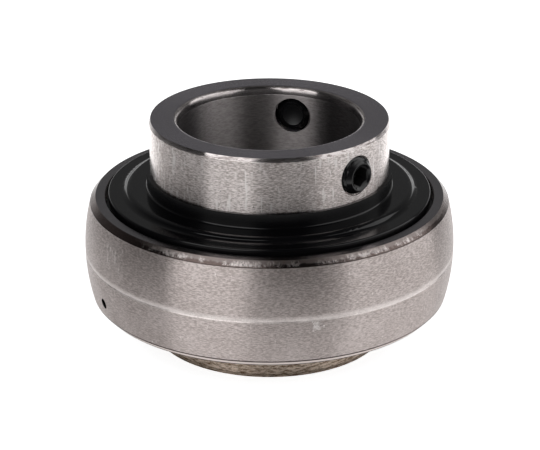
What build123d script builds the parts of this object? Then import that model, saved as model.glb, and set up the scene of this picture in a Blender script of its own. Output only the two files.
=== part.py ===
from build123d import *
import math
import os

# Insert bearing with a spherical outside, a long inner ring and two set screws.
# The origin is the centre of the spherical seat. +Z runs along the axis, towards
# the set-screw end. The first set screw points along +X. Sizes are millimetres.
# Radii build up from the bore outwards, and heights from the balls towards each
# end, so a change of one size carries the sizes beyond it along.

BORE_DIA = 30.0

# Rolling set
BALL_DIA = 9.525
BALL_COUNT = 9
BALL_PLAY = 0.0375
INNER_CONFORMITY = 0.515
OUTER_CONFORMITY = 0.525

# Inner ring
INNER_WALL = 4.85
INNER_GROOVE_DEPTH = 1.65
PLAIN_END_FROM_SLEEVE = 2.93
COLLAR_CHAMFER_RADIAL = 0.22
COLLAR_CHAMFER_AXIAL = 0.70
BORE_CORNER_RADIAL = 0.98
BORE_CORNER_AXIAL = 1.45

# Outer ring
OUTER_WALL = 3.2
OUTER_GROOVE_DEPTH = 1.45
RECESS_STEP = 1.0
RECESS_DEPTH = 2.8
RECESS_EDGE = 0.15
SNAP_GROOVE_DEPTH = 0.45
SNAP_GROOVE_WIDTH = 0.75
SEAT_CHAMFER_AXIAL = 0.97
SEAT_CHAMFER_RADIAL = 0.92
SEAT_LINE_TOP = 0.30
SEAT_LINE_BOTTOM = -0.80
SEAT_LINE_DEEPEST = -0.62
SEAT_LINE_DEPTH = 0.11
GREASE_HOLE_DIA = 1.7
GREASE_HOLE_FROM_FLOOR = 1.0
GREASE_HOLE_ANGLE = 253.0

# Set screws and their holes
SCREW_DIA = 6.0
SCREW_PLAY = 0.05
SCREW_PROUD = 0.97
SCREW_POINT_INSET = 0.30
SCREW_ANGLES = (0.0, 120.0)
SCREW_FROM_END = 5.0
SCREW_MOUTH_FROM_SLEEVE = 0.88
SCREW_END_CHAMFER = 0.7
SCREW_POINT_TAPER = 0.9
SCREW_CUP_RIM = 0.25
SCREW_CUP_DEPTH = 1.0
SOCKET_ACROSS_FLATS = 3.0
SOCKET_DEPTH = 2.6
SOCKET_CONE_DEPTH = 0.6
SOCKET_MOUTH_RADIUS = 2.12
SOCKET_MOUTH_DEPTH = 0.40
HOLE_MOUTH_CHAMFER = 0.3

# Ribbon cage
CAGE_SHEET = 0.7
CAGE_INNER_REACH = 1.8
CAGE_OUTER_REACH = 2.0
CAGE_END_GAP = 0.6375
POCKET_PLAY = 0.1
RIVET_DIA = 1.5
RIVET_HEAD_DIA = 2.7
RIVET_HEAD_HEIGHT = 0.55
RIVET_PLAY = 0.02

# Seals
SEAL_SHEET = 0.6
SEAL_SEAT_PLAY = 0.06
SEAL_HOLE_GAP = 2.07
SEAL_DISH_STEP = 2.10
SEAL_DISH_RISE = 0.45
LIP_WRAP = 1.0
LIP_COVER = 0.35
LIP_PLAY = 0.08
LIP_EDGE = 0.3
LIP_NOTCH_DEPTH = 0.99

# Flingers
FLINGER_SHEET = 0.55
FLINGER_SEAT_PLAY = 0.02
FLINGER_SLEEVE_REACH = 3.97
FLINGER_INNER_PROUD = 1.55
FLINGER_OUTER_PROUD = 0.80
FLINGER_RIM_GAP = 0.5
FLINGER_OUTER_WEB = 2.58
FLINGER_STEP_WIDTH = 0.65
FLINGER_RIM_DEPTH = 1.6
FLINGER_SLEEVE_BEND = 0.3
FLINGER_STEP_BEND = 1.0
FLINGER_RIM_BEND = 0.25

# Radii from the bore outwards
bore_radius = BORE_DIA / 2
ball_radius = BALL_DIA / 2
inner_radius = bore_radius + INNER_WALL
inner_track = inner_radius - INNER_GROOVE_DEPTH
pitch_radius = inner_track + BALL_PLAY + ball_radius
outer_track = pitch_radius + ball_radius + BALL_PLAY
seat_radius = outer_track + OUTER_WALL
shoulder_radius = outer_track - OUTER_GROOVE_DEPTH
recess_radius = shoulder_radius + RECESS_STEP
snap_radius = recess_radius + SNAP_GROOVE_DEPTH
hole_radius = SCREW_DIA / 2 + SCREW_PLAY
mouth_radius = hole_radius + HOLE_MOUTH_CHAMFER

# Heights from the balls towards each end
pocket_radius = ball_radius + POCKET_PLAY
shell_radius = pocket_radius + CAGE_SHEET
recess_floor = shell_radius + CAGE_END_GAP
outer_half_width = recess_floor + RECESS_DEPTH
sleeve_top = outer_half_width + FLINGER_SLEEVE_REACH
screw_height = sleeve_top + SCREW_MOUTH_FROM_SLEEVE + mouth_radius
collar_end = screw_height + SCREW_FROM_END
plain_end = -(sleeve_top + PLAIN_END_FROM_SLEEVE)


def turned(outline):
    """Turn a closed outline, drawn as radius across and height up, about the axis."""
    return revolve(Plane.XZ * make_face(outline), Axis.Z)


def mirrored(points):
    """Add the points below the middle plane, so that an outline runs down both sides."""
    return points + [(radius, -height) for radius, height in reversed(points)]


def ring_blank(inner, outer, height):
    """A plain ring between two radii that stands on the middle plane."""
    ring = Cylinder(outer, height) - Cylinder(inner, height)
    return Pos(0, 0, height / 2) * ring


def seat_arc(low, high):
    """The stretch of the spherical outside between two heights."""
    start = math.asin(low / seat_radius)
    end = math.asin(high / seat_radius)
    angles = (start, (start + end) / 2, end)
    return ThreePointArc(*[(seat_radius * math.cos(a), seat_radius * math.sin(a)) for a in angles])


def outer_ring():
    edge_height = outer_half_width - SEAT_CHAMFER_AXIAL
    lower_seat = seat_arc(-edge_height, SEAT_LINE_BOTTOM)
    upper_seat = seat_arc(SEAT_LINE_TOP, edge_height)
    face_radius = (upper_seat @ 1).X - SEAT_CHAMFER_RADIAL
    snap_top = recess_floor + SNAP_GROOVE_WIDTH
    inside = mirrored([
        (face_radius, outer_half_width),
        (recess_radius + RECESS_EDGE, outer_half_width),
        (recess_radius, outer_half_width - RECESS_EDGE),
        (recess_radius, snap_top),
        (snap_radius, snap_top),
        (snap_radius, recess_floor),
        (shoulder_radius, recess_floor),
    ])
    line_bottom = (seat_radius - SEAT_LINE_DEPTH, SEAT_LINE_DEEPEST)
    outline = [
        Polyline(inside),
        Line(inside[-1], lower_seat @ 0),
        lower_seat,
        Line(lower_seat @ 1, line_bottom),
        Line(line_bottom, upper_seat @ 0),
        upper_seat,
        Line(upper_seat @ 1, inside[0]),
    ]
    groove_radius = OUTER_CONFORMITY * BALL_DIA
    ring = turned(outline) - Torus(outer_track - groove_radius, groove_radius)
    drill = Rot(0, 90, 0) * Cylinder(GREASE_HOLE_DIA / 2, seat_radius)
    drill_height = GREASE_HOLE_FROM_FLOOR - recess_floor
    return ring - Rot(0, 0, GREASE_HOLE_ANGLE) * Pos(seat_radius, 0, drill_height) * drill


def bore_corner(centre_height, start_angle):
    """A quarter ellipse that rounds one end of the bore."""
    centre = (bore_radius + BORE_CORNER_RADIAL, centre_height)
    return EllipticalCenterArc(centre, BORE_CORNER_RADIAL, BORE_CORNER_AXIAL, start_angle, arc_size=90)


def inner_ring():
    lip_radius = bore_radius + BORE_CORNER_RADIAL
    rim_radius = inner_radius - COLLAR_CHAMFER_RADIAL
    bore_top = collar_end - BORE_CORNER_AXIAL
    bore_bottom = plain_end + BORE_CORNER_AXIAL
    outline = [
        Line((bore_radius, bore_bottom), (bore_radius, bore_top)),
        bore_corner(bore_top, 90),
        Polyline(
            (lip_radius, collar_end),
            (rim_radius, collar_end),
            (inner_radius, collar_end - COLLAR_CHAMFER_AXIAL),
            (inner_radius, plain_end + COLLAR_CHAMFER_AXIAL),
            (rim_radius, plain_end),
            (lip_radius, plain_end),
        ),
        bore_corner(bore_bottom, 180),
    ]
    groove_radius = INNER_CONFORMITY * BALL_DIA
    ring = turned(outline) - Torus(inner_track + groove_radius, groove_radius)
    for angle in SCREW_ANGLES:
        ring -= Rot(0, 0, angle) * Pos(0, 0, screw_height) * screw_hole()
    return ring


def screw_hole():
    """The space of one threaded hole, countersunk at both mouths, along +X."""
    bore_mouth = math.sqrt(bore_radius**2 - mouth_radius**2)
    mouth_place = math.sqrt(inner_radius**2 - mouth_radius**2)
    outline = Polyline(
        (0, 0),
        (mouth_radius, 0),
        (mouth_radius, bore_mouth),
        (hole_radius, bore_mouth + HOLE_MOUTH_CHAMFER),
        (hole_radius, mouth_place - HOLE_MOUTH_CHAMFER),
        (mouth_radius, mouth_place),
        (mouth_radius, 2 * inner_radius),
        (0, 2 * inner_radius),
        close=True,
    )
    return Rot(0, 90, 0) * turned(outline)


def set_screw(angle):
    """A cup-point screw with a hexagon socket, its point towards the axis."""
    length = INNER_WALL + SCREW_PROUD - SCREW_POINT_INSET
    radius = SCREW_DIA / 2
    point_radius = radius - SCREW_POINT_TAPER
    outline = Polyline(
        (0, SCREW_CUP_DEPTH),
        (point_radius - SCREW_CUP_RIM, 0),
        (point_radius, 0),
        (radius, SCREW_POINT_TAPER),
        (radius, length - SCREW_END_CHAMFER),
        (radius - SCREW_END_CHAMFER, length),
        (0, length),
        close=True,
    )
    socket_floor = length - SOCKET_DEPTH
    hexagon = RegularPolygon(SOCKET_ACROSS_FLATS / 2, 6, major_radius=False)
    socket = Pos(0, 0, socket_floor) * extrude(hexagon, SOCKET_DEPTH)
    drill_point = Cone(0, SOCKET_ACROSS_FLATS / 2, SOCKET_CONE_DEPTH)
    countersink = Cone(SOCKET_ACROSS_FLATS / 2, SOCKET_MOUTH_RADIUS, SOCKET_MOUTH_DEPTH)
    screw = turned(outline) - socket
    screw -= Pos(0, 0, socket_floor - SOCKET_CONE_DEPTH / 2) * drill_point
    screw -= Pos(0, 0, length - SOCKET_MOUTH_DEPTH / 2) * countersink
    point_place = Pos(bore_radius + SCREW_POINT_INSET, 0, screw_height)
    return Rot(0, 0, angle) * point_place * Rot(0, 90, 0) * screw


def ball_places():
    """The ball centres, evenly spaced from +X."""
    return PolarLocations(pitch_radius, BALL_COUNT)


def rivet_places():
    """Half way between the balls."""
    return PolarLocations(pitch_radius, BALL_COUNT, 360 / BALL_COUNT / 2)


def cage_half():
    """The upper ribbon: flat lands between pockets pressed up round the balls."""
    cage_inner = pitch_radius - CAGE_INNER_REACH
    cage_outer = pitch_radius + CAGE_OUTER_REACH
    width_cut = ring_blank(cage_inner, cage_outer, shell_radius)
    ribbon = ring_blank(cage_inner, cage_outer, CAGE_SHEET)
    for place in ball_places():
        ribbon += (place * Sphere(shell_radius)) & width_cut
    for place in ball_places():
        ribbon -= place * Sphere(pocket_radius)
    for place in rivet_places():
        ribbon -= place * Cylinder(RIVET_DIA / 2 + RIVET_PLAY, 4 * CAGE_SHEET)
    return ribbon


def cage_rivets():
    """One rivet through each pair of lands, with a domed head at each end."""
    head_radius = RIVET_HEAD_DIA / 2
    shank_radius = RIVET_DIA / 2
    top = CAGE_SHEET + RIVET_HEAD_HEIGHT
    outline = [
        TangentArc((0, top), (head_radius, CAGE_SHEET), tangent=(1, 0)),
        Polyline(
            (head_radius, CAGE_SHEET),
            (shank_radius, CAGE_SHEET),
            (shank_radius, -CAGE_SHEET),
            (head_radius, -CAGE_SHEET),
        ),
        TangentArc((0, -top), (head_radius, -CAGE_SHEET), tangent=(1, 0)),
        Line((0, -top), (0, top)),
    ]
    rivet = turned(outline)
    return Compound([place * rivet for place in rivet_places()])


def seal_insert():
    """The upper washer, dished away from the balls, with its rim in the snap groove."""
    rim_radius = snap_radius - SEAL_SEAT_PLAY
    dish_radius = shoulder_radius - SEAL_DISH_STEP
    seal_hole = inner_radius + SEAL_HOLE_GAP
    low = recess_floor + SEAL_SEAT_PLAY
    high = low + SEAL_DISH_RISE
    outline = Polyline(
        (rim_radius, low),
        (rim_radius, low + SEAL_SHEET),
        (dish_radius, low + SEAL_SHEET),
        (dish_radius - SEAL_DISH_RISE, high + SEAL_SHEET),
        (seal_hole, high + SEAL_SHEET),
        (seal_hole, high),
        (dish_radius - SEAL_DISH_RISE, high),
        (dish_radius, low),
        close=True,
    )
    return turned(outline)


def seal_lip():
    """The upper rubber lip, moulded round the washer's hole, with two running edges."""
    low = recess_floor + SEAL_SEAT_PLAY + SEAL_DISH_RISE - LIP_COVER
    high = low + SEAL_SHEET + 2 * LIP_COVER
    wrap_radius = inner_radius + SEAL_HOLE_GAP + LIP_WRAP
    run_radius = inner_radius + LIP_PLAY
    outline = Polyline(
        (wrap_radius, low),
        (wrap_radius, high),
        (run_radius, high),
        (run_radius, high - LIP_EDGE),
        (run_radius + LIP_NOTCH_DEPTH, (low + high) / 2),
        (run_radius, low + LIP_EDGE),
        (run_radius, low),
        close=True,
    )
    return turned(outline) - seal_insert()


def flinger():
    """The upper disc: a sleeve on the inner ring, a stepped web and a turned-down rim."""
    sleeve_radius = inner_radius + FLINGER_SEAT_PLAY + FLINGER_SHEET
    rim_radius = recess_radius - FLINGER_RIM_GAP
    step_outer = rim_radius - FLINGER_OUTER_WEB
    inner_face = outer_half_width + FLINGER_INNER_PROUD
    outer_face = outer_half_width + FLINGER_OUTER_PROUD
    top_side = FilletPolyline(
        [
            (sleeve_radius, sleeve_top),
            (sleeve_radius, inner_face),
            (step_outer - FLINGER_STEP_WIDTH, inner_face),
            (step_outer, outer_face),
            (rim_radius, outer_face),
            (rim_radius, outer_face - FLINGER_RIM_DEPTH),
        ],
        radius=[FLINGER_SLEEVE_BEND, FLINGER_STEP_BEND, FLINGER_STEP_BEND, FLINGER_RIM_BEND],
    )
    sheet = Wire(top_side.edges()).offset_2d(FLINGER_SHEET, side=Side.RIGHT)
    return turned(sheet.edges())


def lower(piece):
    """The same piece on the other side of the middle plane."""
    return mirror(piece, Plane.XY)


nodes = {
    "outer_ring": outer_ring(),
    "inner_ring": inner_ring(),
    "cage_upper_half": cage_half(),
    "cage_lower_half": lower(cage_half()),
    "cage_rivets": cage_rivets(),
    "upper_seal_insert": seal_insert(),
    "upper_seal_lip": seal_lip(),
    "lower_seal_insert": lower(seal_insert()),
    "lower_seal_lip": lower(seal_lip()),
    "upper_flinger": flinger(),
    "lower_flinger": lower(flinger()),
}
for number, place in enumerate(ball_places(), start=1):
    nodes[f"ball_{number}"] = place * Sphere(ball_radius)
for number, angle in enumerate(SCREW_ANGLES, start=1):
    nodes[f"set_screw_{number}"] = set_screw(angle)

os.makedirs("parts", exist_ok=True)
for name, piece in nodes.items():
    export_step(piece, f"parts/{name}.step")
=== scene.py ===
"""The insert bearing as a photograph shows it: ground steel rings, gloss black flingers, black screws."""

import math
from typing import NamedTuple

import bmesh
import bpy
from mathutils import Matrix, Vector


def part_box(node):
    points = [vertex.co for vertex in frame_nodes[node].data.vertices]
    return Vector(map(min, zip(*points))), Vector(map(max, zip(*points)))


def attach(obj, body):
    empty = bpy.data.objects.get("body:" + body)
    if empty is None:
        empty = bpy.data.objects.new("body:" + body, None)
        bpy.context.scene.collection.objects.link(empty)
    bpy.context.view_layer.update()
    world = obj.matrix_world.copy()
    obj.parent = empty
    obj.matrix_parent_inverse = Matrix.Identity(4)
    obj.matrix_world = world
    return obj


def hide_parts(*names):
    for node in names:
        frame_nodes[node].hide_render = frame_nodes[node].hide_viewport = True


MM = 0.001


class Pattern(NamedTuple):
    """Noise on a turned piece: its fineness per metre, and the levels between which it fades in."""

    along: float
    across: float
    detail: float
    roughness: float
    start: float = 0.0
    end: float = 1.0


class Zone(NamedTuple):
    """A strip between two heights in mm, and the widths of its soft edges."""

    low: float
    high: float
    soft_low: float
    soft_high: float


# The camera, fitted to the edges in the photograph. Azimuth 0 looks along +Y.
CAMERA_AZIMUTH = 45.23
CAMERA_ELEVATION = 23.193
CAMERA_DISTANCE = 338.471 * MM
CAMERA_LENS = 133.52
SENSOR_WIDTH = 36.0
AIM_RIGHT = 0.101 * MM
AIM_UP = 2.547 * MM
CLIP_START = CAMERA_DISTANCE / 100
CLIP_END = 20.0

# Lamps. Azimuths are degrees to the right of the camera, sizes are angles seen from the object.
# Power is in watts per square metre at a radiance of 1.
LAMP_DISTANCE = 0.9
LAMP_POWER = 4.0
LEFT_LAMP = {"azimuth": -38.0, "elevation": 34.0, "width": 46.0, "height": 56.0, "radiance": 1.36}
RIGHT_LAMP = {"azimuth": 82.0, "elevation": 25.5, "width": 72.0, "height": 55.0, "radiance": 0.95}

# Floor. CLEAR, FAR and FARTHEST are metres from the axis. The other pairs are cosines round the axis:
# 1 is towards the camera (for LEFT_HALF to its right) and -1 is opposite.
FLOOR_RADIUS = 3.0
FLOOR_SEGMENTS = 64
FLOOR_COLOUR = (0.80, 0.80, 0.80)
FLOOR_FAR_SHARE = 0.15
FLOOR_BACK_GLOW = 0.70
FLOOR_SIDE_GLOW = 0.55
FLOOR_NEAR_GLOW = 0.27
FLOOR_CLEAR = (0.020, 0.023)
FLOOR_FAR = (0.045, 0.18)
FLOOR_FARTHEST = (0.13, 0.24)
FARTHEST_SHARE = 0.15
CAMERA_GLOW = 0.80
BEHIND = (-0.55, -0.95)
NEAR_ASIDE = (0.45, -0.85)
FAR_ASIDE = (0.15, -0.65)
LEFT_HALF = (0.2, -0.2)

# Sky. SKY_BEHIND holds cosines too, and HORIZON holds sines of the angle above the floor.
SKY_BEHIND = (0.0, -0.80)
HORIZON = (0.17, 0.08)
SKY_DIFFUSE = 0.40
SKY_FRONT = 0.024
SKY_BACK = 0.155
HORIZON_FRONT = 0.04
HORIZON_BACK = 1.0

# Ground steel
LINES = Pattern(1700.0, 9000.0, 1.0, 0.5)
GRAIN = Pattern(6500.0, 6500.0, 1.0, 0.5, 0.30, 0.70)
CLOUD_SCALE = 140.0
LINES_WEIGHT = 0.65
GRAIN_WEIGHT = 0.20
CLOUD_WEIGHT = 0.15
BASE_LEVELS = (0.38, 0.62)
FLAT_LEVELS = (0.90, 0.97)
RELIEF_DEPTH = 0.02 * MM
ANISOTROPY = 1.0
ANISOTROPY_TURN = 0.25

# The seat of the outer ring. Heights in mm are from its middle.
SEAT_DARK = (0.425, 0.366, 0.346)
SEAT_LIGHT = (0.715, 0.640, 0.620)
SEAT_ROUGHNESS = 0.38
OUTER_BUMP = 0.40
# The bright line round the seat is burnished, and its pale, duller colour is also a painted highlight.
SEAT_LINE = Zone(-0.86, 0.35, 0.08, 0.85)
LINE_AND_HIGHLIGHT_COLOUR = (0.92, 0.85, 0.825)
LINE_GAPS = Pattern(260.0, 900.0, 4.0, 0.7, 0.35, 0.60)
LINE_LEAST = 0.60
LINE_GRAIN_LEAST = 0.70
FROSTED_METAL = 0.58
MARK_COLOUR = (1.0, 0.95, 0.93)
SCUFFS = Pattern(900.0, 900.0, 4.0, 0.8, 0.69, 0.75)
SCUFF_PLACE = (26.44 * MM, -15.90 * MM, -1.60 * MM)
SCUFF_REACH = (2.0 * MM, 0.0)
SCUFF_BOOST = 0.29
SCUFF_STRENGTH = 0.8
SCRATCHES = Pattern(2600.0, 480.0, 2.0, 0.5, 0.67, 0.79)
SCRATCH_PLACE = (-5.00 * MM, -30.10 * MM, 4.60 * MM)
SCRATCH_REACH = (4.2 * MM, 0.8 * MM)
SCRATCH_BOOST = 0.15
SCRATCH_STRENGTH = 0.6
GREASE_HOLE_ANGLE = 253.0
GREASE_HOLE_HEIGHT = -5.2 * MM
GREASE_HOLE_DIA = 1.7 * MM
HOLE_MARGIN = 0.03 * MM
# Painted shade: the wall of the grease hole is coloured near black.
HOLE_PAINTED_SHADE = (0.01, 0.01, 0.01)

# The ends of the outer ring. Heights in mm are from the nearer end, sides are degrees round the axis.
UPPER_END = (-1.05, -0.97)
# Painted shade: a dark line along the edge between the seat and the upper chamfer.
UPPER_EDGE = Zone(-1.08, -0.84, 0.05, 0.12)
UPPER_EDGE_PAINTED_SHADE = (0.05, 0.04, 0.035)
UPPER_EDGE_STRENGTH = 0.8
CHAMFER_BROWN = (0.135, 0.103, 0.095)
CHAMFER_RUBBED = (0.36, 0.305, 0.29)
CHAMFER_ROUGHNESS = 0.16
WORN_ROUGHNESS = 0.42
WORN_SIDE = -28.0
WORN_SIDE_LEVELS = (0.35, 0.72)
WORN_ELSEWHERE = -0.25
WORN_ZONE = Zone(-0.92, 0.05, 0.25, 0.45)
WEAR = Pattern(1000.0, 2600.0, 6.0, 0.8, 0.85, 0.98)
WEAR_PATCHES = Pattern(160.0, 700.0, 3.0, 0.6)
PATCHES_WEIGHT = 0.8
WEAR_RELIEF = 4.0
SPECKS = Pattern(2600.0, 3600.0, 2.0, 0.6, 0.40, 0.58)
SPECKS_LEAST = 0.35
CRACKS = Pattern(1500.0, 5200.0, 5.0, 0.8, 0.41, 0.47)
CRACK_COLOUR = (0.12, 0.098, 0.09)
BARE_COLOUR = (0.88, 0.81, 0.79)
RUBBED_SIDE_LEVELS = (0.40, 0.62)
RUBBED_HEIGHTS = (0.0, 0.30)
RUBBED_RAGGEDNESS = 0.8 * MM
# Painted shade: the flat upper end is darker on the side where it reflects the black flinger.
PAINTED_SHADE_END_SIDE = -45.0
PAINTED_SHADE_END_LEVELS = (0.80, 0.90)
END_GREY = (0.285, 0.270, 0.284)
END_PAINTED_SHADE = (0.13, 0.121, 0.122)
END_ROUGHNESS = 0.07
LOWER_CHAMFER = Zone(0.20, 0.86, 0.08, 0.08)
# Painted reflection: the lower chamfer is coloured pale, as the white floor would show in it.
LOWER_CHAMFER_PAINTED_REFLECTION = (0.90, 0.80, 0.76)
# Painted shade: dark lines along the edges of the lower chamfer.
LOWER_EDGE = Zone(0.82, 1.16, 0.06, 0.06)
LOWER_RIM = (0.26, 0.16)
LOWER_EDGE_PAINTED_SHADE = (0.05, 0.035, 0.03)
LOWER_EDGE_STRENGTH = 0.9

# The collar of the inner ring. Heights in mm are from its top, and radii in mm are from the bore's wall.
COLLAR_DARK = (0.48, 0.418, 0.396)
COLLAR_LIGHT = (1.00, 0.93, 0.91)
COLLAR_ROUGHNESS = 0.31
COLLAR_SIDE_ROUGHNESS = 0.14
COLLAR_SIDE_LEVELS = (0.50, 0.85)
INNER_BUMP = 0.25
STREAKS = Pattern(2000.0, 260.0, 1.0, 0.5, 0.61, 0.70)
STREAK_COLOUR = (1.0, 0.96, 0.94)
STREAK_STRENGTH = 0.75
PITS = Pattern(2200.0, 2200.0, 2.0, 0.6, 0.69, 0.77)
PIT_COLOUR = (0.10, 0.08, 0.08)
PIT_STRENGTH = 0.8
COLLAR_CHAMFER = (-0.64, -0.54)
BORE_CHAMFER_HEIGHT = (-1.50, -1.40)
BORE_CHAMFER_RADIUS = (1.10, 1.05)
NICKS = Pattern(420.0, 2600.0, 4.0, 0.75, 0.36, 0.54)
NICK_COLOUR = (0.30, 0.26, 0.25)
COLLAR_CHAMFER_COLOUR = (0.66, 0.61, 0.60)
COLLAR_CHAMFER_ROUGHNESS = 0.19
BORE_CHAMFER_ROUGHNESS = 0.20
COLLAR_END_COLOUR = (0.385, 0.358, 0.395)
EDGE_WIDTH = 0.70 * MM
EDGE_ROUNDING = 4.5

# The bore, with painted light on one side and painted shade on the other, and the stained lower end of
# the inner ring
BORE_RADIUS = 15.0 * MM
BORE_WALL = (0.35, 0.15)
BORE_ROUGHNESS = 0.56
BORE_METAL = 0.88
TURNING = Pattern(1000.0, 4200.0, 4.0, 0.8, 0.38, 0.62)
# Painted light and shade: the bore is coloured lighter on one side and darker on the other.
PAINTED_LIT_BORE_SIDE = 142.0
PAINTED_LIT_BORE_LEVELS = (0.60, 0.90)
PAINTED_SHADE_BORE_DARK = (0.078, 0.072, 0.073)
PAINTED_SHADE_BORE_LIGHT = (0.128, 0.119, 0.121)
PAINTED_LIT_BORE_DARK = (0.34, 0.312, 0.308)
PAINTED_LIT_BORE_LIGHT = (0.48, 0.444, 0.442)
STAINED_END = (3.6, 2.6)
MOTTLE = Pattern(700.0, 3200.0, 5.0, 0.8, 0.38, 0.60)
STAIN_DARK = (0.16, 0.10, 0.055)
STAIN_LIGHT = (0.80, 0.66, 0.55)

# Coats
FLINGER_COLOUR = (0.0014, 0.0014, 0.0018)
FLINGER_ROUGHNESS = 0.12
FLINGER_WALL_ROUGHNESS = 0.27
FLINGER_WALL_LEVELS = (0.40, 0.15)
FLINGER_SPECULAR = 0.35
SCREW_COLOUR = (0.004, 0.004, 0.0045)
SCREW_ROUGHNESS = 0.14
HOLLOW_ROUGHNESS = 0.48
HOLLOW_RADIUS = 1.8 * MM
HOLLOW_EDGE = 0.05 * MM

# Hidden pieces: a word in the name of the node, the material, its colour, roughness and metallic share
HIDDEN_LOOKS = (
    ("ball_", "ball_steel", (0.75, 0.75, 0.76), 0.08, 1.0),
    ("cage_", "cage_steel", (0.50, 0.50, 0.51), 0.35, 1.0),
    ("seal_insert", "seal_steel", (0.12, 0.12, 0.125), 0.40, 0.0),
    ("seal_lip", "seal_rubber", (0.015, 0.015, 0.015), 0.50, 0.0),
)

# Set screws
SCREW_DIA = 6.0 * MM
SCREW_PITCH = 0.75 * MM
THREAD_DEPTH = 0.40 * MM
THREAD_CREST = 0.125
THREAD_ROOT = 0.25
END_CHAMFER = 0.70 * MM
POINT_TAPER = 0.9 * MM
CUP_RIM = 0.25 * MM
CUP_DEPTH = 1.0 * MM
SOCKET_ACROSS_FLATS = 3.0 * MM
SOCKET_MOUTH_RADIUS = 2.12 * MM
SOCKET_MOUTH_DEPTH = 0.40 * MM
SOCKET_DEPTH = 2.6 * MM
SOCKET_CONE_DEPTH = 0.6 * MM
SCREW_ANGLES = (0.0, 120.0)
SCREW_SEGMENTS = 72
ROWS_PER_PITCH = 12
SHARP_ANGLE = 22.0


def outwards(degrees):
    """The level direction at an angle round the axis from +X."""
    angle = math.radians(degrees)
    return Vector((math.cos(angle), math.sin(angle), 0.0))


def new_object(name, data):
    """An object in the scene."""
    piece = bpy.data.objects.new(name, data)
    bpy.context.scene.collection.objects.link(piece)
    return piece


def add_node(tree, kind, inputs=None, **settings):
    """Add a node, set its properties, and set or link its inputs by name or number."""
    node = tree.nodes.new(kind)
    for name, value in settings.items():
        setattr(node, name, value)
    for key, value in (inputs or {}).items():
        if isinstance(value, bpy.types.NodeSocket):
            tree.links.new(value, node.inputs[key])
        else:
            node.inputs[key].default_value = value
    return node


def maths(tree, operation, first, second=0.0):
    """The result of one sum on numbers."""
    return add_node(tree, "ShaderNodeMath", {0: first, 1: second}, operation=operation).outputs[0]


def product(tree, first, second):
    """Two numbers multiplied."""
    return maths(tree, "MULTIPLY", first, second)


def greater(tree, first, second):
    """The greater of two numbers."""
    return maths(tree, "MAXIMUM", first, second)


def weighted_sum(tree, *terms):
    """The sum of pairs of a value and its weight."""
    total = product(tree, *terms[0])
    for term in terms[1:]:
        total = maths(tree, "ADD", total, product(tree, *term))
    return total


def vector_maths(tree, operation, *vectors):
    """The outputs of a sum on vectors: the first is a vector, and Value is a number."""
    inputs = dict(enumerate(vectors))
    return add_node(tree, "ShaderNodeVectorMath", inputs, operation=operation).outputs


def along(tree, vector, direction):
    """The part of a vector that runs in a direction."""
    return vector_maths(tree, "DOT_PRODUCT", vector, direction)["Value"]


def rise(tree, value, start, end, low=0.0, high=1.0):
    """A smooth change from low at start to high at end."""
    inputs = {"Value": value, "From Min": start, "From Max": end, "To Min": low, "To Max": high}
    return add_node(tree, "ShaderNodeMapRange", inputs, interpolation_type="SMOOTHSTEP").outputs[0]


def rise_past(tree, value, base, distances):
    """A smooth change from 0 to 1 between two distances in mm from a base."""
    return rise(tree, value, base + distances[0] * MM, base + distances[1] * MM)


def strip(tree, value, base, zone):
    """1 inside a zone that is measured from a base, and 0 outside it."""
    low = base + zone.low * MM
    high = base + zone.high * MM
    up = rise(tree, value, low, low + zone.soft_low * MM)
    down = rise(tree, value, high, high - zone.soft_high * MM)
    return product(tree, up, down)


def mix_numbers(tree, share, first, second):
    """Mix two numbers by a share from 0 to 1."""
    return add_node(tree, "ShaderNodeMix", {0: share, 2: first, 3: second}, data_type="FLOAT").outputs[0]


def mix_colours(tree, share, first, second):
    """Mix two colours by a share from 0 to 1."""
    first = first if isinstance(first, bpy.types.NodeSocket) else (*first, 1.0)
    second = second if isinstance(second, bpy.types.NodeSocket) else (*second, 1.0)
    return add_node(tree, "ShaderNodeMix", {0: share, 6: first, 7: second}, data_type="RGBA").outputs[2]


def noise(tree, vector, scale, detail=1.0, roughness=0.5):
    """Smooth noise from 0 to 1."""
    inputs = {"Vector": vector, "Scale": scale, "Detail": detail, "Roughness": roughness}
    return add_node(tree, "ShaderNodeTexNoise", inputs).outputs[0]


def new_material(name):
    """An empty material and its node tree."""
    material = bpy.data.materials.new(name)
    material.use_nodes = True
    material.node_tree.nodes.clear()
    return material, material.node_tree


def finish_material(tree, shader):
    """Send a shader to the surface."""
    output = tree.nodes.new("ShaderNodeOutputMaterial")
    tree.links.new(shader, output.inputs["Surface"])


def finish_principled(tree, inputs):
    """Send a principled shader with these inputs to the surface."""
    finish_material(tree, add_node(tree, "ShaderNodeBsdfPrincipled", inputs).outputs[0])


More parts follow.
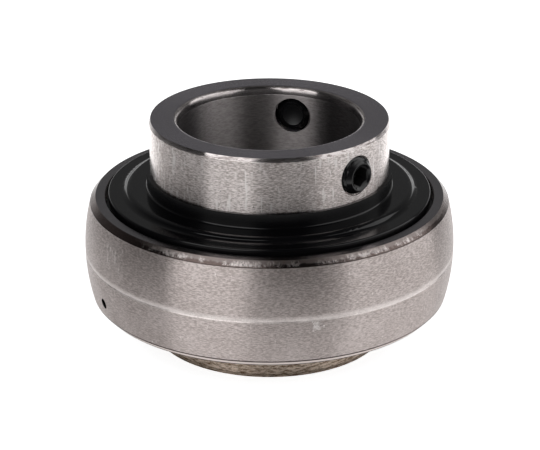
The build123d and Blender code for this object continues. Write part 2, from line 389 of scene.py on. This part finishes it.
class Place:
    """Where a point lies on a turned piece: its x, y, height and radius in metres."""

    def __init__(self, tree):
        self.tree = tree
        self.vector = add_node(tree, "ShaderNodeTexCoord").outputs["Object"]
        split = add_node(tree, "ShaderNodeSeparateXYZ", {0: self.vector})
        self.x, self.y, self.height = split.outputs
        level = add_node(tree, "ShaderNodeCombineXYZ", {0: self.x, 1: self.y})
        self.radius = vector_maths(tree, "LENGTH", level.outputs[0])["Value"]

    def pattern(self, kind):
        """Noise that runs round the axis, and up or outwards across it."""
        side = maths(self.tree, "ADD", self.height, self.radius)
        parts = {
            0: product(self.tree, self.x, kind.along),
            1: product(self.tree, self.y, kind.along),
            2: product(self.tree, side, kind.across),
        }
        vector = add_node(self.tree, "ShaderNodeCombineXYZ", parts).outputs[0]
        return noise(self.tree, vector, 1.0, kind.detail, kind.roughness)

    def faded(self, kind, low=0.0, high=1.0):
        """Noise that rises from low to high between the levels of its pattern."""
        return rise(self.tree, self.pattern(kind), kind.start, kind.end, low, high)

    def marks(self, kind, centre, reach, boost):
        """Marks here and there, and more of them close to one place."""
        distance = vector_maths(self.tree, "DISTANCE", self.vector, centre)["Value"]
        near = rise(self.tree, distance, *reach, 0.0, boost)
        return rise(self.tree, maths(self.tree, "ADD", self.pattern(kind), near), kind.start, kind.end)

    def facing(self, degrees):
        """The cosine of the angle round the axis from a side to this point."""
        reach = along(self.tree, self.vector, outwards(degrees))
        return maths(self.tree, "DIVIDE", reach, self.radius)


def flatness(tree):
    """1 where the surface faces up or down, and 0 where it faces sideways."""
    normal = add_node(tree, "ShaderNodeNewGeometry").outputs["Normal"]
    upward = add_node(tree, "ShaderNodeSeparateXYZ", {0: normal}).outputs[2]
    return maths(tree, "ABSOLUTE", upward)


def steel_base(tree, place, dark, light):
    """Ground steel between two colours, and the noise of its grinding lines."""
    lines = place.pattern(LINES)
    clouds = noise(tree, place.vector, CLOUD_SCALE)
    terms = [(lines, LINES_WEIGHT), (place.pattern(GRAIN), GRAIN_WEIGHT), (clouds, CLOUD_WEIGHT)]
    share = rise(tree, weighted_sum(tree, *terms), *BASE_LEVELS)
    return mix_colours(tree, share, dark, light), lines


def finish_steel(tree, colour, roughness, height, bump, metallic):
    """Brushed metal whose highlights stretch across lines that run round the axis."""
    tangent = add_node(tree, "ShaderNodeTangent", direction_type="RADIAL", axis="Z").outputs[0]
    relief = {"Strength": bump, "Distance": RELIEF_DEPTH, "Height": height}
    inputs = {
        "Base Color": colour,
        "Metallic": metallic,
        "Roughness": roughness,
        "Anisotropic": ANISOTROPY,
        "Anisotropic Rotation": ANISOTROPY_TURN,
        "Tangent": tangent,
        "Normal": add_node(tree, "ShaderNodeBump", relief).outputs[0],
    }
    finish_principled(tree, inputs)


def hole_inside(tree, place):
    """1 on the wall of the grease hole, which is painted near black as shade."""
    offset = vector_maths(tree, "SUBTRACT", place.vector, (0.0, 0.0, GREASE_HOLE_HEIGHT))[0]
    reach = along(tree, offset, outwards(GREASE_HOLE_ANGLE))
    length = vector_maths(tree, "LENGTH", offset)["Value"]
    square = maths(tree, "SUBTRACT", product(tree, length, length), product(tree, reach, reach))
    apart = maths(tree, "SQRT", square)
    near = maths(tree, "LESS_THAN", apart, GREASE_HOLE_DIA / 2 + HOLE_MARGIN)
    return product(tree, near, maths(tree, "GREATER_THAN", reach, 0.0))


def seat_line_and_highlight(tree, place):
    """1 on the bright line round the seat, and less where it is rubbed. The line is burnished, and its
    pale, duller colour is also a painted highlight.
    """
    gaps = place.faded(LINE_GAPS, LINE_LEAST, 1.0)
    grain = place.faded(GRAIN, LINE_GRAIN_LEAST, 1.0)
    return product(tree, strip(tree, place.height, 0.0, SEAT_LINE), product(tree, gaps, grain))


def seat_marks(tree, place, colour):
    """The colour of the seat with its scuffs and scratches."""
    scuffs = place.marks(SCUFFS, SCUFF_PLACE, SCUFF_REACH, SCUFF_BOOST)
    colour = mix_colours(tree, product(tree, scuffs, SCUFF_STRENGTH), colour, MARK_COLOUR)
    scratches = place.marks(SCRATCHES, SCRATCH_PLACE, SCRATCH_REACH, SCRATCH_BOOST)
    return mix_colours(tree, product(tree, scratches, SCRATCH_STRENGTH), colour, MARK_COLOUR)


def upper_wear(tree, place, top):
    """Wear on the upper end of the outer ring: its noise, where steel is bare, and where it is rubbed."""
    facing = place.facing(WORN_SIDE)
    patches = product(tree, place.pattern(WEAR_PATCHES), PATCHES_WEIGHT)
    wear = maths(tree, "ADD", place.pattern(WEAR), patches)
    wear = maths(tree, "ADD", wear, rise(tree, facing, *WORN_SIDE_LEVELS, WORN_ELSEWHERE, 0.0))
    bare = rise(tree, wear, WEAR.start, WEAR.end)
    bare = product(tree, bare, strip(tree, place.height, top, WORN_ZONE))
    bare = product(tree, bare, place.faded(SPECKS, SPECKS_LEAST, 1.0))
    ragged = maths(tree, "ADD", place.height, product(tree, wear, RUBBED_RAGGEDNESS))
    rubbed = rise_past(tree, ragged, top, RUBBED_HEIGHTS)
    rubbed = product(tree, rise(tree, facing, *RUBBED_SIDE_LEVELS), rubbed)
    return wear, bare, rubbed


def upper_end_colour(tree, place, top, bare, rubbed, flat):
    """The hardened upper end: brown chamfer, grey flat with painted shade on one side, cracked bare steel
    and a dark edge of painted shade.
    """
    chamfer = mix_colours(tree, rubbed, CHAMFER_BROWN, CHAMFER_RUBBED)
    # Painted shade on one side of the flat end.
    painted_shade_side = rise(tree, place.facing(PAINTED_SHADE_END_SIDE), *PAINTED_SHADE_END_LEVELS)
    colour = mix_colours(tree, flat, chamfer, mix_colours(tree, painted_shade_side, END_GREY, END_PAINTED_SHADE))
    cracked = mix_colours(tree, place.faded(CRACKS), CRACK_COLOUR, BARE_COLOUR)
    colour = mix_colours(tree, bare, colour, cracked)
    # Painted shade along the upper edge.
    edge = product(tree, strip(tree, place.height, top, UPPER_EDGE), UPPER_EDGE_STRENGTH)
    return mix_colours(tree, edge, colour, UPPER_EDGE_PAINTED_SHADE)


def lower_end_colour(tree, place, bottom, chamfer, colour):
    """A colour with the lower chamfer of the outer ring painted pale as a reflection of the floor, and
    painted shade along its edges.
    """
    # Painted shade along the edges of the lower chamfer.
    edges = strip(tree, place.height, bottom, LOWER_EDGE)
    edges = greater(tree, edges, rise_past(tree, place.height, bottom, LOWER_RIM))
    # Painted reflection of the floor on the lower chamfer.
    colour = mix_colours(tree, chamfer, colour, LOWER_CHAMFER_PAINTED_REFLECTION)
    return mix_colours(tree, product(tree, edges, LOWER_EDGE_STRENGTH), colour, LOWER_EDGE_PAINTED_SHADE)


def outer_steel():
    """The outer ring: a ground seat with a bright line that is partly a painted highlight, a worn upper
    end, brown from hardening, and painted shade and reflection at its edges, end and grease hole.
    """
    material, tree = new_material("outer_steel")
    place = Place(tree)
    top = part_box("outer_ring")[1].z
    colour, lines = steel_base(tree, place, SEAT_DARK, SEAT_LIGHT)
    # Partly a painted highlight: the burnished line is coloured pale.
    line = seat_line_and_highlight(tree, place)
    colour = seat_marks(tree, place, mix_colours(tree, line, colour, LINE_AND_HIGHLIGHT_COLOUR))
    wear, bare, rubbed = upper_wear(tree, place, top)
    flat = rise(tree, flatness(tree), *FLAT_LEVELS)
    upper_end = rise_past(tree, place.height, top, UPPER_END)
    colour = mix_colours(tree, upper_end, colour, upper_end_colour(tree, place, top, bare, rubbed, flat))
    lower_chamfer = strip(tree, place.height, -top, LOWER_CHAMFER)
    colour = lower_end_colour(tree, place, -top, lower_chamfer, colour)
    # Painted shade in the grease hole.
    colour = mix_colours(tree, hole_inside(tree, place), colour, HOLE_PAINTED_SHADE)
    chamfer = mix_numbers(tree, greater(tree, bare, rubbed), CHAMFER_ROUGHNESS, WORN_ROUGHNESS)
    end_roughness = mix_numbers(tree, flat, chamfer, END_ROUGHNESS)
    roughness = mix_numbers(tree, upper_end, SEAT_ROUGHNESS, end_roughness)
    metallic = mix_numbers(tree, greater(tree, line, lower_chamfer), 1.0, FROSTED_METAL)
    relief = maths(tree, "ADD", lines, product(tree, product(tree, upper_end, wear), WEAR_RELIEF))
    finish_steel(tree, colour, roughness, relief, OUTER_BUMP, metallic)
    return material


def collar_colour(tree, place, colour, chamfers, flat):
    """The colour of the collar with its streaks, pits, nicked chamfers and end face."""
    streaks = product(tree, place.faded(STREAKS), STREAK_STRENGTH)
    colour = mix_colours(tree, streaks, colour, STREAK_COLOUR)
    colour = mix_colours(tree, place.faded(PITS, 0.0, PIT_STRENGTH), colour, PIT_COLOUR)
    nicked = mix_colours(tree, place.faded(NICKS), NICK_COLOUR, COLLAR_CHAMFER_COLOUR)
    colour = mix_colours(tree, chamfers, colour, nicked)
    return mix_colours(tree, flat, colour, COLLAR_END_COLOUR)


def bore_colour(tree, place):
    """Dull turned steel, with painted light on one side of the bore and painted shade on the other."""
    # Painted light on one side of the bore, painted shade on the rest.
    bright = rise(tree, place.facing(PAINTED_LIT_BORE_SIDE), *PAINTED_LIT_BORE_LEVELS)
    shade = mix_colours(tree, bright, PAINTED_SHADE_BORE_DARK, PAINTED_LIT_BORE_DARK)
    shine = mix_colours(tree, bright, PAINTED_SHADE_BORE_LIGHT, PAINTED_LIT_BORE_LIGHT)
    return mix_colours(tree, place.faded(TURNING), shade, shine)


def inner_steel():
    """The inner ring: a ground collar with bright chamfers, a dull bore with painted light and shade, and
    an oily brown lower end.
    """
    material, tree = new_material("inner_steel")
    place = Place(tree)
    bottom, top = (corner.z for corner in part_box("inner_ring"))
    flat = rise(tree, flatness(tree), *FLAT_LEVELS)
    bore_chamfer = rise_past(tree, place.radius, BORE_RADIUS, BORE_CHAMFER_RADIUS)
    high = rise_past(tree, place.height, top, BORE_CHAMFER_HEIGHT)
    bore_chamfer = product(tree, bore_chamfer, high)
    chamfers = greater(tree, rise_past(tree, place.height, top, COLLAR_CHAMFER), bore_chamfer)
    in_bore = rise_past(tree, place.radius, BORE_RADIUS, BORE_WALL)

    colour, lines = steel_base(tree, place, COLLAR_DARK, COLLAR_LIGHT)
    colour = collar_colour(tree, place, colour, chamfers, flat)
    # The bore's colour, with its painted light and shade.
    colour = mix_colours(tree, in_bore, colour, bore_colour(tree, place))
    stain = mix_colours(tree, place.faded(MOTTLE), STAIN_DARK, STAIN_LIGHT)
    colour = mix_colours(tree, rise_past(tree, place.height, bottom, STAINED_END), colour, stain)

    slant = add_node(tree, "ShaderNodeLayerWeight").outputs["Facing"]
    ground = rise(tree, slant, *COLLAR_SIDE_LEVELS, COLLAR_ROUGHNESS, COLLAR_SIDE_ROUGHNESS)
    ground = mix_numbers(tree, in_bore, ground, BORE_ROUGHNESS)
    smooth = mix_numbers(tree, bore_chamfer, COLLAR_CHAMFER_ROUGHNESS, BORE_CHAMFER_ROUGHNESS)
    roughness = mix_numbers(tree, greater(tree, chamfers, flat), ground, smooth)
    metallic = mix_numbers(tree, in_bore, 1.0, BORE_METAL)
    half = EDGE_WIDTH / 2
    middle = maths(tree, "DIVIDE", maths(tree, "SUBTRACT", place.height, top - half), half)
    rounding = product(tree, product(tree, middle, middle), EDGE_ROUNDING)
    relief = maths(tree, "SUBTRACT", lines, product(tree, chamfers, rounding))
    finish_steel(tree, colour, roughness, relief, INNER_BUMP, metallic)
    return material


def plain_material(name, colour, roughness, metallic):
    """A material with one colour and one gloss."""
    material, tree = new_material(name)
    finish_principled(tree, {"Base Color": (*colour, 1.0), "Metallic": metallic, "Roughness": roughness})
    return material


def screw_coat():
    """Black oxide, glossy on the thread and dull in the socket and the cup."""
    material, tree = new_material("screw_black")
    inside = rise(tree, Place(tree).radius, HOLLOW_RADIUS + HOLLOW_EDGE, HOLLOW_RADIUS - HOLLOW_EDGE)
    roughness = mix_numbers(tree, inside, SCREW_ROUGHNESS, HOLLOW_ROUGHNESS)
    finish_principled(tree, {"Base Color": (*SCREW_COLOUR, 1.0), "Roughness": roughness})
    return material


def flinger_coat():
    """Gloss black, duller on the upright walls."""
    material, tree = new_material("flinger_black")
    wall = rise(tree, flatness(tree), *FLINGER_WALL_LEVELS)
    inputs = {
        "Base Color": (*FLINGER_COLOUR, 1.0),
        "Roughness": mix_numbers(tree, wall, FLINGER_ROUGHNESS, FLINGER_WALL_ROUGHNESS),
        "Specular IOR Level": FLINGER_SPECULAR,
    }
    finish_principled(tree, inputs)
    return material


def dress(nodes, word, material):
    """Give one material to the CAD nodes whose names hold a word."""
    for name, piece in nodes.items():
        if word in name:
            for slot in piece.material_slots:
                slot.material = material


def thread_depth_at(turn, height):
    """How far the thread's surface lies under its crest, as a share of the depth."""
    phase = (height / SCREW_PITCH - turn) % 1.0
    slope = (1.0 - THREAD_CREST - THREAD_ROOT) / 2
    from_crest = min(phase, 1.0 - phase) - THREAD_CREST / 2
    return min(max(from_crest / slope, 0.0), 1.0)


def screw_mesh(name, length):
    """A cup-point set screw with a real thread, its point at height 0 and its socket at the top."""
    radius = SCREW_DIA / 2
    point_radius = radius - POINT_TAPER
    socket_radius = SOCKET_ACROSS_FLATS / 2
    floor = length - SOCKET_DEPTH
    mesh = bmesh.new()
    turns = [i / SCREW_SEGMENTS for i in range(SCREW_SEGMENTS)]

    def ring(radius_at, height_at):
        corners = []
        for turn in turns:
            angle = math.tau * turn
            r = radius_at(turn)
            corners.append(mesh.verts.new((r * math.cos(angle), r * math.sin(angle), height_at(turn))))
        return corners

    def level(height):
        return lambda turn: height

    def hexagon(turn):
        side = (turn * 6) % 1.0 - 0.5
        return socket_radius / math.cos(side * math.tau / 6)

    def countersink(turn):
        share = (SOCKET_MOUTH_RADIUS - hexagon(turn)) / (SOCKET_MOUTH_RADIUS - socket_radius)
        return length - SOCKET_MOUTH_DEPTH * share

    def threaded(height):
        lead_in = point_radius + height
        lead_out = radius - END_CHAMFER + (length - height)
        return lambda turn: min(radius - THREAD_DEPTH * thread_depth_at(turn, height), lead_in, lead_out)

    rings = [ring(level(point_radius - CUP_RIM), level(0.0))]
    rows = round(length / (SCREW_PITCH / ROWS_PER_PITCH))
    for i in range(rows + 1):
        height = length * i / rows
        rings.append(ring(threaded(height), level(height)))
    rings.append(ring(level(SOCKET_MOUTH_RADIUS), level(length)))
    rings.append(ring(hexagon, countersink))
    rings.append(ring(hexagon, level(floor)))
    cup_centre = mesh.verts.new((0, 0, CUP_DEPTH))
    socket_centre = mesh.verts.new((0, 0, floor - SOCKET_CONE_DEPTH))
    for i in range(SCREW_SEGMENTS):
        after = (i + 1) % SCREW_SEGMENTS
        mesh.faces.new((rings[0][after], rings[0][i], cup_centre))
        for low, high in zip(rings, rings[1:]):
            mesh.faces.new((low[i], low[after], high[after], high[i]))
        mesh.faces.new((rings[-1][i], rings[-1][after], socket_centre))
    bmesh.ops.recalc_face_normals(mesh, faces=mesh.faces)
    data = bpy.data.meshes.new(name)
    mesh.to_mesh(data)
    mesh.free()
    data.shade_smooth()
    data.set_sharp_from_angle(angle=math.radians(SHARP_ANGLE))
    return data


def add_screw(number, angle, nodes, material):
    """A threaded screw in the place of the plain one, on the same body."""
    node = f"set_screw_{number}"
    low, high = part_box(node)
    centre = (low + high) / 2
    direction = outwards(angle)
    reaches = [direction.dot(vertex.co) for vertex in nodes[node].data.vertices]
    start, end = min(reaches), max(reaches)
    screw = new_object(f"threaded_screw_{number}", screw_mesh(node, end - start))
    upright = Vector((0.0, 0.0, 1.0))
    across = upright.cross(direction)
    turn = Matrix((-upright, across, direction)).transposed().to_4x4()
    screw.matrix_world = Matrix.Translation(direction * start + upright * centre.z) @ turn
    screw.data.materials.append(material)
    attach(screw, node + "_body")
    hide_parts(node)


def camera_axes():
    """The camera's level directions: towards it and to its right."""
    right = outwards(CAMERA_AZIMUTH)
    return Vector((right.y, -right.x, 0.0)), right


def studio_direction(azimuth, elevation):
    """A direction by its angles to the right of the camera and above the floor."""
    towards, right = camera_axes()
    side, height = math.radians(azimuth), math.radians(elevation)
    level = towards * math.cos(side) + right * math.sin(side)
    return level * math.cos(height) + Vector((0.0, 0.0, math.sin(height)))


def add_camera():
    """The camera that the photograph was taken with."""
    back = studio_direction(0.0, CAMERA_ELEVATION)
    right = camera_axes()[1]
    up = back.cross(right)
    camera = new_object("camera", bpy.data.cameras.new("camera"))
    camera.location = back * CAMERA_DISTANCE
    look = right * AIM_RIGHT + up * AIM_UP - camera.location
    camera.rotation_euler = look.to_track_quat("-Z", "Y").to_euler()
    camera.data.lens = CAMERA_LENS
    camera.data.sensor_width = SENSOR_WIDTH
    camera.data.clip_start = CLIP_START
    camera.data.clip_end = CLIP_END
    bpy.context.scene.camera = camera


def add_lamp(name, azimuth, elevation, width, height, radiance):
    """A soft box that fills the given angles, seen from the object."""
    sides = [2 * LAMP_DISTANCE * math.tan(math.radians(angle / 2)) for angle in (width, height)]
    lamp = new_object(name, bpy.data.lights.new(name, "AREA"))
    lamp.data.shape = "RECTANGLE"
    lamp.data.size, lamp.data.size_y = sides
    lamp.data.energy = LAMP_POWER * radiance * sides[0] * sides[1]
    lamp.location = studio_direction(azimuth, elevation) * LAMP_DISTANCE
    lamp.rotation_euler = lamp.location.to_track_quat("Z", "Y").to_euler()


def seen_rays(tree):
    """1 for rays from the camera, straight or through clear pieces, and then 1 for reflected rays."""
    path = add_node(tree, "ShaderNodeLightPath").outputs
    return greater(tree, path["Is Camera Ray"], path["Is Transmission Ray"]), path["Is Glossy Ray"]


def build_sky():
    """White to the camera, dim to matt surfaces, and in metal bright only low behind the object."""
    towards = camera_axes()[0]
    world = bpy.data.worlds.new("studio")
    bpy.context.scene.world = world
    world.use_nodes = True
    tree = world.node_tree
    tree.nodes.clear()
    direction = add_node(tree, "ShaderNodeTexCoord").outputs["Generated"]
    up = add_node(tree, "ShaderNodeSeparateXYZ", {0: direction}).outputs[2]
    cosine = along(tree, direction, towards)
    above = mix_numbers(tree, rise(tree, cosine, *SKY_BEHIND), SKY_FRONT, SKY_BACK)
    horizon = mix_numbers(tree, rise(tree, cosine, *BEHIND), HORIZON_FRONT, HORIZON_BACK)
    reflected = mix_numbers(tree, rise(tree, up, *HORIZON), above, horizon)
    seen, glossy = seen_rays(tree)
    level = mix_numbers(tree, glossy, SKY_DIFFUSE, reflected)
    level = mix_numbers(tree, seen, level, 1.0)
    inputs = {"Color": (1.0, 1.0, 1.0, 1.0), "Strength": level}
    background = add_node(tree, "ShaderNodeBackground", inputs)
    output = tree.nodes.new("ShaderNodeOutputWorld")
    tree.links.new(background.outputs[0], output.inputs["Surface"])


def floor_material():
    """Pale floor with the object's shadow, white to the camera and with a glow of its own in metal."""
    towards, right = camera_axes()
    material, tree = new_material("floor")
    seen, glossy = seen_rays(tree)
    place = add_node(tree, "ShaderNodeTexCoord").outputs["Object"]
    distance = vector_maths(tree, "LENGTH", place)["Value"]
    cosine = maths(tree, "DIVIDE", along(tree, place, towards), distance)
    sideways = maths(tree, "DIVIDE", along(tree, place, right), distance)
    behind = rise(tree, cosine, *BEHIND)
    far = rise(tree, distance, *FLOOR_FAR)

    front_far = product(tree, far, maths(tree, "SUBTRACT", 1.0, behind))
    share = rise(tree, product(tree, front_far, glossy), 0.0, 1.0, 1.0, FLOOR_FAR_SHARE)
    colour = mix_colours(tree, share, (0.0, 0.0, 0.0), FLOOR_COLOUR)
    diffuse = add_node(tree, "ShaderNodeBsdfDiffuse", {"Color": colour})

    beside = product(tree, rise(tree, cosine, *FAR_ASIDE), FLOOR_SIDE_GLOW)
    far_glow = mix_numbers(tree, behind, beside, FLOOR_BACK_GLOW)
    farthest = product(tree, rise(tree, distance, *FLOOR_FARTHEST), rise(tree, sideways, *LEFT_HALF))
    far_glow = product(tree, far_glow, rise(tree, farthest, 0.0, 1.0, 1.0, FARTHEST_SHARE))
    near_glow = mix_numbers(tree, rise(tree, cosine, *NEAR_ASIDE), FLOOR_NEAR_GLOW, FLOOR_BACK_GLOW)
    glow = mix_numbers(tree, maths(tree, "SUBTRACT", 1.0, far), far_glow, near_glow)
    glow = product(tree, product(tree, glow, rise(tree, distance, *FLOOR_CLEAR)), glossy)
    glow = mix_numbers(tree, seen, glow, CAMERA_GLOW)
    emission = add_node(tree, "ShaderNodeEmission", {"Strength": glow})
    both = add_node(tree, "ShaderNodeAddShader", {0: diffuse.outputs[0], 1: emission.outputs[0]})
    finish_material(tree, both.outputs[0])
    return material


def add_floor():
    """A round floor at the height of the end that the bearing stands on."""
    mesh = bmesh.new()
    bmesh.ops.create_circle(mesh, cap_ends=True, segments=FLOOR_SEGMENTS, radius=FLOOR_RADIUS)
    data = bpy.data.meshes.new("floor")
    mesh.to_mesh(data)
    mesh.free()
    floor = new_object("floor", data)
    floor.location.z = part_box("inner_ring")[0].z
    data.materials.append(floor_material())


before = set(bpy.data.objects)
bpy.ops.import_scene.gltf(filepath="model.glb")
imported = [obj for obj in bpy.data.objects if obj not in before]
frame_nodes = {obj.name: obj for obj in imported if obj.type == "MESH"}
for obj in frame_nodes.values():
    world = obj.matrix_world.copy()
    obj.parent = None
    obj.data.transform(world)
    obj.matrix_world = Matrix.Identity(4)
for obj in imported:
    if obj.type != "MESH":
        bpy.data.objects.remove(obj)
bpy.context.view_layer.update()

bpy.context.scene.view_settings.view_transform = "Standard"
add_camera()
build_sky()
add_lamp("left_lamp", **LEFT_LAMP)
add_lamp("right_lamp", **RIGHT_LAMP)
add_floor()

dress(frame_nodes, "outer_ring", outer_steel())
dress(frame_nodes, "inner_ring", inner_steel())
dress(frame_nodes, "flinger", flinger_coat())
for word, *look in HIDDEN_LOOKS:
    dress(frame_nodes, word, plain_material(*look))
screw_black = screw_coat()
for number, angle in enumerate(SCREW_ANGLES, start=1):
    add_screw(number, angle, frame_nodes, screw_black)
